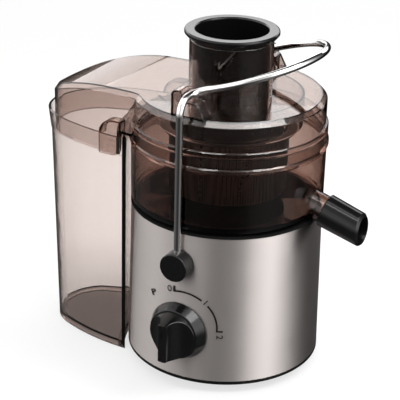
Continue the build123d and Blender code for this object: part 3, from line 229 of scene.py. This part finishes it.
def brushed_steel():
    """Stainless sheet, brushed along its roll, so lights stretch into soft upright bands.

    Real brush lines are too fine to show, so they are drawn about 0.4 mm wide.
    """
    material, tree = new_material("brushed_stainless_sheet")
    place = add_node(tree, "ShaderNodeTexCoord")
    squash = add_node(tree, "ShaderNodeMapping", {
        "Vector": place.outputs["Object"], "Scale": (1, 1, BRUSH_SHAPE)})
    lines = add_node(tree, "ShaderNodeTexNoise", {
        "Vector": squash.outputs["Vector"], "Scale": per_mm(BRUSH_LENGTH), "Detail": 3.0})
    rough = add_node(tree, "ShaderNodeMapRange", {
        "Value": lines.outputs["Fac"], "To Min": 0.36, "To Max": 0.44})
    grooves = add_node(tree, "ShaderNodeBump", {
        "Height": lines.outputs["Fac"], "Strength": 0.05, "Distance": MM})
    around = add_node(tree, "ShaderNodeTangent", direction_type="RADIAL", axis="Z")
    shader = add_node(tree, "ShaderNodeBsdfPrincipled", {
        "Base Color": colours().steel, "Metallic": 1.0, "Roughness": rough.outputs["Result"],
        "Anisotropic": 0.95, "Anisotropic Rotation": 0.25, "Tangent": around.outputs["Tangent"],
        "Normal": grooves.outputs["Normal"]})
    add_node(tree, "ShaderNodeOutputMaterial", {"Surface": shader.outputs["BSDF"]})
    return material


def black_plastic(name, low, high, grain, shine):
    """Moulded black ABS: gloss from a polished mould, a fine satin or matt grain from an eroded one."""
    material, tree = new_material(name)
    speck, rough = unevenness(tree, grain, low, high, detail=4.0)
    bump = add_node(tree, "ShaderNodeBump", {
        "Height": speck, "Strength": 0.04, "Distance": 0.02 * MM})
    shader = add_node(tree, "ShaderNodeBsdfPrincipled", {
        "Base Color": colours().black, "Specular IOR Level": shine, "Roughness": rough,
        "Normal": bump.outputs["Normal"]})
    add_node(tree, "ShaderNodeOutputMaterial", {"Surface": shader.outputs["BSDF"]})
    return material


def plain_metal(name, colour, low, high, grain):
    """Plated, turned or rolled metal with the faint unevenness of its making."""
    material, tree = new_material(name)
    _, rough = unevenness(tree, grain, low, high)
    shader = add_node(tree, "ShaderNodeBsdfPrincipled", {
        "Base Color": colour, "Metallic": 1.0, "Roughness": rough})
    add_node(tree, "ShaderNodeOutputMaterial", {"Surface": shader.outputs["BSDF"]})
    return material


def pierced_steel_painted_shade():
    """Thin stainless sheet with fine round holes at an even pitch. The holes are not cut: they are
    painted near-black as painted shade, and the sheet between them is painted darker than bare
    stainless as painted shade for the inside of the bowl.
    """
    material, tree = new_material("etched_stainless_mesh_painted_shade")
    place = add_node(tree, "ShaderNodeTexCoord")
    holes = add_node(tree, "ShaderNodeTexVoronoi", {
        "Vector": place.outputs["Object"], "Scale": per_mm(HOLE_PITCH), "Randomness": 0.0})
    edge = add_node(tree, "ShaderNodeMapRange", {
        "Value": holes.outputs["Distance"], "From Min": HOLE_EDGE[0], "From Max": HOLE_EDGE[1]})
    # Painted shade: near-black in the holes, and a darkened grey for the sheet between them
    colour = add_node(tree, "ShaderNodeMix", {
        "Factor": edge.outputs["Result"], MIX_FIRST: linear("0C0A09"),
        MIX_SECOND: linear("6A5E58")}, data_type="RGBA")
    shader = add_node(tree, "ShaderNodeBsdfPrincipled", {
        "Base Color": colour.outputs[MIX_RESULT], "Metallic": 1.0, "Roughness": 0.32})
    add_node(tree, "ShaderNodeOutputMaterial", {"Surface": shader.outputs["BSDF"]})
    return material


def plain_solid(name, colour, low, high, grain):
    """Moulded plastic, rubber, carbon or printed ink with a fine uneven surface."""
    material, tree = new_material(name)
    _, rough = unevenness(tree, grain, low, high)
    shader = add_node(tree, "ShaderNodeBsdfPrincipled", {"Base Color": colour, "Roughness": rough})
    add_node(tree, "ShaderNodeOutputMaterial", {"Surface": shader.outputs["BSDF"]})
    return material


def finish_piece(piece, material):
    """Give a piece its finish and smooth shading between its real edges."""
    piece.data.materials.clear()
    piece.data.materials.append(material)
    piece.data.shade_smooth()
    piece.data.set_sharp_from_angle(angle=EDGE_ANGLE)
    even = piece.modifiers.new("even_normals", "WEIGHTED_NORMAL")
    even.keep_sharp = True


def dress(node, material):
    """Finish a CAD node."""
    finish_piece(NODES[node], material)


def welded(node, shift=(0, 0, 0)):
    """Copy of a CAD node, its doubled vertices merged, moved a little to overlap its neighbour."""
    mesh = NODES[node].data.copy()
    form = bmesh.new()
    form.from_mesh(mesh)
    bmesh.ops.remove_doubles(form, verts=form.verts, dist=WELD_DISTANCE)
    bmesh.ops.translate(form, verts=form.verts, vec=shift)
    form.to_mesh(mesh)
    form.free()
    mesh.attributes.remove(mesh.attributes["custom_normal"])
    piece = bpy.data.objects.new(node + "_copy", mesh)
    bpy.context.scene.collection.objects.link(piece)
    return piece


def moulding(name, first, others, material):
    """Make one clear moulding from the CAD nodes that it is split into."""
    whole = welded(first)
    copies = [welded(node, shift) for node, shift in others.items()]
    for copy in copies:
        join = whole.modifiers.new(copy.name, "BOOLEAN")
        join.operation = "UNION"
        join.solver = "EXACT"
        join.object = copy
    graph = bpy.context.evaluated_depsgraph_get()
    shape = bpy.data.meshes.new_from_object(whole.evaluated_get(graph))
    for copy in (whole, *copies):
        bpy.data.objects.remove(copy)
    shape.name = name
    piece = bpy.data.objects.new(name, shape)
    bpy.context.scene.collection.objects.link(piece)
    finish_piece(piece, material)
    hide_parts(first, *others)
    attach(piece, "machine")


class JUICER_OT_clear_plastic(bpy.types.Operator):
    """Mould the lid and the bowl in one piece each, and dress them and the container"""

    bl_idname = "juicer.clear_plastic"
    bl_label = "Clear plastic"

    def execute(self, context):
        moulding("clear_lid", "lid", {
            "pulp_hood": (0, 0, 0), "feed_chute": (0, 0, 0), "guide_ring": (0, 0, OVERLAP)},
            smoky_plastic("smoky_plastic_lid", sizes().lid_depth))
        # The bowl's deeper tint carries painted shade for its inside
        moulding("clear_bowl", "juice_bowl", {"juice_spout": (-OVERLAP, 0, 0)},
                 smoky_plastic("smoky_plastic_bowl", sizes().bowl_tint_and_shade_depth))
        dress("pulp_container", smoky_plastic("smoky_plastic", sizes().container_depth))
        return {"FINISHED"}


class JUICER_OT_steel_body(bpy.types.Operator):
    """Dress the steel body"""

    bl_idname = "juicer.steel_body"
    bl_label = "Steel body"

    def execute(self, context):
        dress("steel_sleeve", brushed_steel())
        return {"FINISHED"}


class JUICER_OT_black_parts(bpy.types.Operator):
    """Dress the pusher, the knobs, the nozzle, the base and the black parts inside"""

    bl_idname = "juicer.black_parts"
    bl_label = "Black parts"

    def execute(self, context):
        gloss = black_plastic("glossy_black_abs", low=0.12, high=0.18, grain=6, shine=0.28)
        satin = black_plastic("satin_black_abs", low=0.30, high=0.38, grain=0.8, shine=0.3)
        matt = black_plastic("matt_black_abs", low=0.6, high=0.75, grain=0.8, shine=0.1)
        for node in ("pusher", "control_knob", "front_pivot_knob", "rear_pivot_knob",
                     "spout_nozzle"):
            dress(node, gloss)
        for node in ("base_pan", "rotary_switch", "interlock_switch"):
            dress(node, satin)
        for node in ("motor_chassis", "basket_hub"):
            dress(node, matt)
        return {"FINISHED"}


class JUICER_OT_wire_bail(bpy.types.Operator):
    """Dress the wire bail in chrome plate"""

    bl_idname = "juicer.wire_bail"
    bl_label = "Wire bail"

    def execute(self, context):
        dress("locking_bail", plain_metal(
            "chrome_plated_wire", colours().chrome, low=0.05, high=0.09, grain=5))
        return {"FINISHED"}


def steel_radii():
    """Outer radii of the tapered steel body at its bottom and its top."""
    rows = {False: 0.0, True: 0.0}
    for vertex in NODES["steel_sleeve"].data.vertices:
        upper = vertex.co.z > (STEEL_LOW.z + STEEL_HIGH.z) / 2
        reach = math.hypot(vertex.co.x - SPINDLE.x, vertex.co.y - SPINDLE.y)
        rows[upper] = max(rows[upper], reach)
    return rows[False], rows[True]


def print_on_steel(outline, radii):
    """Lay flat points, measured right and up from the knob, on the front of the steel body."""
    points = []
    for right, up in outline:
        share = (KNOB.z + up - STEEL_LOW.z) / (STEEL_HIGH.z - STEEL_LOW.z)
        reach = radii[0] + (radii[1] - radii[0]) * share + PRINT_LIFT
        angle = right / reach - math.pi / 2
        points.append((SPINDLE.x + reach * math.cos(angle),
                       SPINDLE.y + reach * math.sin(angle), KNOB.z + up))
    return points


def on_dial(angle, radius):
    """Point right and up from the knob, at an angle in degrees from the top of the printed arc."""
    turn = math.radians(angle)
    return DIAL_CENTRE[0] + radius * math.sin(turn), DIAL_CENTRE[1] + radius * math.cos(turn)


def rectangle(left, right, low, high):
    """Corners of an upright rectangle."""
    return [(left, low), (left, high), (right, high), (right, low)]


def dial_lines():
    """Printed arc in two lengths, with an upright and a level tick at its ends, as flat quads."""
    radius, half = sizes().dial_radius, sizes().dial_line / 2
    inner, outer = radius - half, radius + half
    quads = []
    for start, end in DIAL_ARCS:
        step = (end - start) / DIAL_STEPS
        for index in range(DIAL_STEPS):
            first, last = start + index * step, start + (index + 1) * step
            quads.append([on_dial(first, inner), on_dial(first, outer),
                          on_dial(last, outer), on_dial(last, inner)])
    right, up = on_dial(DIAL_ARCS[0][0], radius)
    quads.append(rectangle(right - half, right + half, up - half, up + TICK_LENGTH))
    right, up = on_dial(DIAL_ARCS[-1][1], radius)
    quads.append(rectangle(right - half, right + TICK_LENGTH, up - half, up + half))
    return quads


def glyph(text, angle, radius, tilt, width):
    """Flat faces of one printed character beside the arc, at a share of its font's width."""
    data = bpy.data.curves.new("glyph", "FONT")
    data.body = text
    data.size = sizes().digit_height / GLYPH_CAP
    data.offset = GLYPH_BOLD
    data.align_x = "CENTER"
    data.align_y = "CENTER"
    source = bpy.data.objects.new("glyph", data)
    mesh = source.to_mesh()
    turned = math.radians(-tilt)
    centre = on_dial(angle, radius)
    spots = []
    for vertex in mesh.vertices:
        across, up = vertex.co.x * width, vertex.co.y
        spots.append((centre[0] + across * math.cos(turned) - up * math.sin(turned),
                      centre[1] + across * math.sin(turned) + up * math.cos(turned)))
    faces = [[spots[index] for index in face.vertices] for face in mesh.polygons]
    source.to_mesh_clear()
    bpy.data.objects.remove(source)
    return faces


class JUICER_OT_dial_print(bpy.types.Operator):
    """Print the dial round the control knob"""

    bl_idname = "juicer.dial_print"
    bl_label = "Dial print"

    def execute(self, context):
        radii = steel_radii()
        flats = dial_lines()
        for mark in MARKS:
            flats += glyph(*mark)
        points, faces = [], []
        for flat in flats:
            faces.append(range(len(points), len(points) + len(flat)))
            points += print_on_steel(flat, radii)
        mesh = bpy.data.meshes.new("dial_print")
        mesh.from_pydata(points, [], faces)
        piece = bpy.data.objects.new("dial_print", mesh)
        context.scene.collection.objects.link(piece)
        # Screen-printed ink is slightly glossy, and as uneven as the mesh it was pressed through
        finish_piece(piece, plain_solid(
            "screen_print_ink", colours().ink, low=0.4, high=0.6, grain=INK_MESH))
        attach(piece, "machine")
        return {"FINISHED"}


class JUICER_OT_inner_works(bpy.types.Operator):
    """Dress the basket, the motor and the small parts inside"""

    bl_idname = "juicer.inner_works"
    bl_label = "Inner works"

    def execute(self, context):
        # Each finish, with its colour, lowest and highest roughness and grain, and its nodes
        finishes = {
            plain_metal("bright_stainless", linear("A9A7A5"), 0.22, 0.34, 3): (
                "motor_shaft", "pivot_pins", "switch_spindle"),
            pierced_steel_painted_shade(): ("filter_basket",),
            # The grater's steel is painted darker and browner than bare stainless, as painted shade for
            # the inside of the bowl
            plain_metal("grater_stainless_painted_shade", linear("5A504B"), 0.25, 0.38, 2): ("grater_disc",),
            plain_metal("zinc_plate", linear("9D9C96"), 0.3, 0.45, 2): (
                "base_screws", "stator_bolts", "motor_screws", "pivot_clips", "switch_nut"),
            plain_metal("cast_aluminium", linear("A8A8AA"), 0.4, 0.55, 1.5): (
                "upper_bracket", "lower_bracket"),
            plain_metal("enamelled_copper", linear("8F4A22"), 0.3, 0.4, 1): (
                "field_coils", "armature_windings", "commutator"),
            plain_metal("sintered_bronze", linear("7D5F33"), 0.4, 0.5, 0.8): (
                "upper_bearing", "lower_bearing"),
            plain_metal("varnished_laminations", linear("4A4846"), 0.4, 0.55, 0.7): (
                "motor_stator", "armature_core"),
            plain_solid("black_rubber", linear("151515"), 0.6, 0.8, 0.7): (
                "rubber_feet", "shaft_seal", "motor_bushes", "cord_gland"),
            plain_solid("white_nylon", linear("D8D4CA"), 0.4, 0.5, 1): (
                "brush_holders", "cooling_fan", "drive_coupling", "pivot_bushes", "interlock_cam",
                "interlock_plunger"),
            plain_solid("pressed_carbon", linear("242425"), 0.5, 0.7, 0.5): ("carbon_brushes",),
        }
        for material, nodes in finishes.items():
            for node in nodes:
                dress(node, material)
        return {"FINISHED"}


# The photograph's camera, solved from the body's ellipses, with its lens and sensor in millimetres
CAMERA_FROM_SPINDLE = Vector((0.5093, -1.0282, 0.6570))
TARGET_FROM_SPINDLE = Vector((-0.0204, -0.0106, 0.1412))
CAMERA_ROLL = math.radians(1.42)
CAMERA_LENS = 131.7
CAMERA_SENSOR = 36
CAMERA_AZIMUTH = math.atan2(CAMERA_FROM_SPINDLE.y, CAMERA_FROM_SPINDLE.x)

# Brightness of the studio's walls as shiny parts mirror them, by angle to the right of the main
# view's camera in degrees. The walls stay where they are when the camera moves.
STUDIO_WALLS = (
    (-179, 0.03), (-160, 0.04), (-146, 0.12), (-132, 0.60), (-115, 0.82), (-85, 0.88),
    (-60, 0.55), (-35, 0.34), (-8, 0.22), (16, 0.31), (25, 0.48), (30, 0.95), (53, 1.35),
    (76, 1.0), (88, 0.45), (105, 0.14), (125, 0.02), (150, 0.01), (165, 0.01), (179, 0.04),
)
# The walls' strength below and above the horizon, and the heights between which it changes
WALL_STRENGTHS = (0.16, 3.0)
WALL_HEIGHTS = (-0.25, 0.1)
# Strength of the even light from all round
SOFT_LIGHT = 0.78

# Share of plain white in the floor as the camera sees it, which keeps the object's shadow pale, and
# as it is seen through plastic
FLOOR_SHARE = 0.68
FLOOR_SHARE_THROUGH = 0.1
FLOOR_HALF = 6.0
# The floor's colour to rays that a shiny surface has mirrored before
FLOOR_MIRRORED = linear("606060")

# Each lamp's place from the spindle, right, back and up as the main view's camera stands, its size
# and its power, and the height over the floor that all of them aim at
LAMPS = {
    "key_softbox": ((0.85, -0.25, 1.5), (0.5, 0.45), 6),
    "left_softbox": ((-0.88, -1.13, 0.8), (0.9, 0.9), 2),
    "top_strip": ((0.05, -0.52, 1.5), (1.2, 0.14), 4),
    "back_strip": ((0.0, 0.5, 0.50), (1.2, 0.23), 1.6),
    "lid_strip": ((0.0, 0.5, 0.53), (1.2, 0.17), 0.7),
    "hood_strip": ((-0.3, 2.0, 0.51), (0.8, 0.62), 2.1),
    "side_softbox": ((0.98, -0.40, 1.11), (0.45, 0.35), 4),
}
LAMP_AIM = 0.2


def seen_white(tree, path, share, share_through):
    """Share of plain white in what the camera sees straight, and in what it sees through plastic.

    Glossy rays count with those through plastic, but it makes no difference to them: the floor and
    the world both put mirrored_before over this, so shiny parts show the studio's walls instead.
    """
    shiny = add_node(tree, "ShaderNodeMath", {
        0: path.outputs["Is Glossy Ray"], 1: path.outputs["Is Transmission Ray"]},
        operation="MAXIMUM")
    through = add_node(tree, "ShaderNodeMath", {
        0: shiny.outputs[0], 1: share_through}, operation="MULTIPLY")
    straight = add_node(tree, "ShaderNodeMath", {
        0: path.outputs["Is Camera Ray"], 1: share}, operation="MULTIPLY")
    seen = add_node(tree, "ShaderNodeMath", {
        0: straight.outputs[0], 1: through.outputs[0]}, operation="MAXIMUM")
    return seen.outputs[0]


def mirrored_before(tree, path):
    """1 for a ray that a shiny surface has mirrored on its way, and 0 for any other."""
    bounced = add_node(tree, "ShaderNodeMath", {
        0: path.outputs["Glossy Depth"], 1: 0.5}, operation="GREATER_THAN")
    return bounced.outputs[0]


class JUICER_OT_stage(bpy.types.Operator):
    """Make the floor, the light, the background and the camera"""

    bl_idname = "juicer.stage"
    bl_label = "Stage"

    def execute(self, context):
        scene = context.scene
        scene.view_settings.view_transform = "Standard"
        self.floor(scene)
        self.world(scene)
        self.lamps(scene)
        self.camera(scene)
        return {"FINISHED"}

    def floor(self, scene):
        """Pale floor that keeps the object's shadow, and that shiny parts don't mirror."""
        mesh = bpy.data.meshes.new("floor")
        corners = [(-FLOOR_HALF, -FLOOR_HALF, 0), (FLOOR_HALF, -FLOOR_HALF, 0),
                   (FLOOR_HALF, FLOOR_HALF, 0), (-FLOOR_HALF, FLOOR_HALF, 0)]
        mesh.from_pydata(corners, [], [(0, 1, 2, 3)])
        floor = bpy.data.objects.new("floor", mesh)
        scene.collection.objects.link(floor)
        material, tree = new_material("pale_floor")
        path = add_node(tree, "ShaderNodeLightPath")
        pale = add_node(tree, "ShaderNodeBsdfDiffuse", {"Color": colours().floor})
        white = add_node(tree, "ShaderNodeEmission", {"Color": WHITE, "Strength": 1.0})
        lit = add_node(tree, "ShaderNodeMixShader", {
            0: seen_white(tree, path, FLOOR_SHARE, FLOOR_SHARE_THROUGH),
            1: pale.outputs["BSDF"], 2: white.outputs["Emission"]})
        dark = add_node(tree, "ShaderNodeBsdfDiffuse", {"Color": FLOOR_MIRRORED})
        both = add_node(tree, "ShaderNodeMixShader", {
            0: mirrored_before(tree, path), 1: lit.outputs["Shader"], 2: dark.outputs["BSDF"]})
        add_node(tree, "ShaderNodeOutputMaterial", {"Surface": both.outputs["Shader"]})
        mesh.materials.append(material)
        floor.visible_glossy = False

    def world(self, scene):
        """White for the camera, even light on matt surfaces, and walls for shiny parts to mirror."""
        world = bpy.data.worlds.new("studio")
        scene.world = world
        world.use_nodes = True
        tree = world.node_tree
        tree.nodes.clear()
        path = add_node(tree, "ShaderNodeLightPath")
        place = add_node(tree, "ShaderNodeTexCoord")
        turned = add_node(tree, "ShaderNodeMapping", {
            "Vector": place.outputs["Generated"], "Rotation": (0, 0, -CAMERA_AZIMUTH)})
        around = add_node(tree, "ShaderNodeTexGradient", {
            "Vector": turned.outputs["Vector"]}, gradient_type="RADIAL")
        walls = add_node(tree, "ShaderNodeValToRGB", {"Fac": around.outputs["Fac"]})
        ramp = walls.color_ramp
        ramp.elements.remove(ramp.elements[1])
        for degrees, level in STUDIO_WALLS:
            stop = ramp.elements.new(degrees / 360 + 0.5)
            stop.color = (level, level, level, 1)
        soft = add_node(tree, "ShaderNodeBackground", {"Color": WHITE, "Strength": SOFT_LIGHT})
        axes = add_node(tree, "ShaderNodeSeparateXYZ", {0: place.outputs["Generated"]})
        height = add_node(tree, "ShaderNodeMapRange", {
            "Value": axes.outputs["Z"], "From Min": WALL_HEIGHTS[0], "From Max": WALL_HEIGHTS[1],
            "To Min": WALL_STRENGTHS[0], "To Max": WALL_STRENGTHS[1]})
        mirrored = add_node(tree, "ShaderNodeBackground", {
            "Color": walls.outputs["Color"], "Strength": height.outputs["Result"]})
        white = add_node(tree, "ShaderNodeBackground", {"Color": WHITE, "Strength": 1.0})
        direct = add_node(tree, "ShaderNodeMixShader", {
            0: seen_white(tree, path, 1, 1),
            1: soft.outputs["Background"], 2: white.outputs["Background"]})
        both = add_node(tree, "ShaderNodeMixShader", {
            0: mirrored_before(tree, path),
            1: direct.outputs["Shader"], 2: mirrored.outputs["Background"]})
        add_node(tree, "ShaderNodeOutputWorld", {"Surface": both.outputs["Shader"]})

    def lamps(self, scene):
        """Softboxes and strips round the object."""
        origin = Vector((SPINDLE.x, SPINDLE.y, 0))
        turn = Matrix.Rotation(CAMERA_AZIMUTH + math.pi / 2, 3, "Z")
        for name, (place, size, power) in LAMPS.items():
            data = bpy.data.lights.new(name, "AREA")
            data.shape = "RECTANGLE"
            data.size, data.size_y = size
            data.energy = power
            lamp = bpy.data.objects.new(name, data)
            lamp.location = origin + turn @ Vector(place)
            aim = Vector((SPINDLE.x, SPINDLE.y, LAMP_AIM)) - lamp.location
            lamp.rotation_euler = aim.to_track_quat("-Z", "Y").to_euler()
            scene.collection.objects.link(lamp)

    def camera(self, scene):
        """Camera of the photograph."""
        data = bpy.data.cameras.new("photo_camera")
        data.lens = CAMERA_LENS
        data.sensor_width = CAMERA_SENSOR
        camera = bpy.data.objects.new("photo_camera", data)
        origin = Vector((SPINDLE.x, SPINDLE.y, 0))
        place = origin + CAMERA_FROM_SPINDLE
        aim = origin + TARGET_FROM_SPINDLE - place
        turn = aim.to_track_quat("-Z", "Y").to_matrix() @ Matrix.Rotation(CAMERA_ROLL, 3, "Z")
        camera.matrix_world = Matrix.Translation(place) @ turn.to_4x4()
        scene.collection.objects.link(camera)
        scene.camera = camera


OPERATORS = (
    JUICER_OT_clear_plastic,
    JUICER_OT_steel_body,
    JUICER_OT_black_parts,
    JUICER_OT_wire_bail,
    JUICER_OT_dial_print,
    JUICER_OT_inner_works,
    JUICER_OT_stage,
)


class JUICER_PT_panel(bpy.types.Panel):
    """Lists the juicer's operators and settings"""

    bl_label = "Juicer"
    bl_idname = "JUICER_PT_panel"
    bl_space_type = "VIEW_3D"
    bl_region_type = "UI"
    bl_category = "Juicer"

    def draw(self, context):
        for operator in OPERATORS:
            self.layout.operator(operator.bl_idname)
        for group in (context.scene.juicer_colours, context.scene.juicer_sizes):
            for setting in group.__annotations__:
                self.layout.prop(group, setting)


CLASSES = (JuicerColours, JuicerSizes, *OPERATORS, JUICER_PT_panel)


def register():
    """Register the classes and the scene's settings."""
    for item in CLASSES:
        bpy.utils.register_class(item)
    bpy.types.Scene.juicer_colours = bpy.props.PointerProperty(type=JuicerColours)
    bpy.types.Scene.juicer_sizes = bpy.props.PointerProperty(type=JuicerSizes)


def unregister():
    """Remove the scene's settings and the classes."""
    del bpy.types.Scene.juicer_sizes
    del bpy.types.Scene.juicer_colours
    for item in reversed(CLASSES):
        bpy.utils.unregister_class(item)


def main():
    """Dress the whole juicer."""
    register()
    bpy.ops.juicer.clear_plastic()
    bpy.ops.juicer.steel_body()
    bpy.ops.juicer.black_parts()
    bpy.ops.juicer.wire_bail()
    bpy.ops.juicer.dial_print()
    bpy.ops.juicer.inner_works()
    bpy.ops.juicer.stage()


if __name__ == "__main__":
    main()
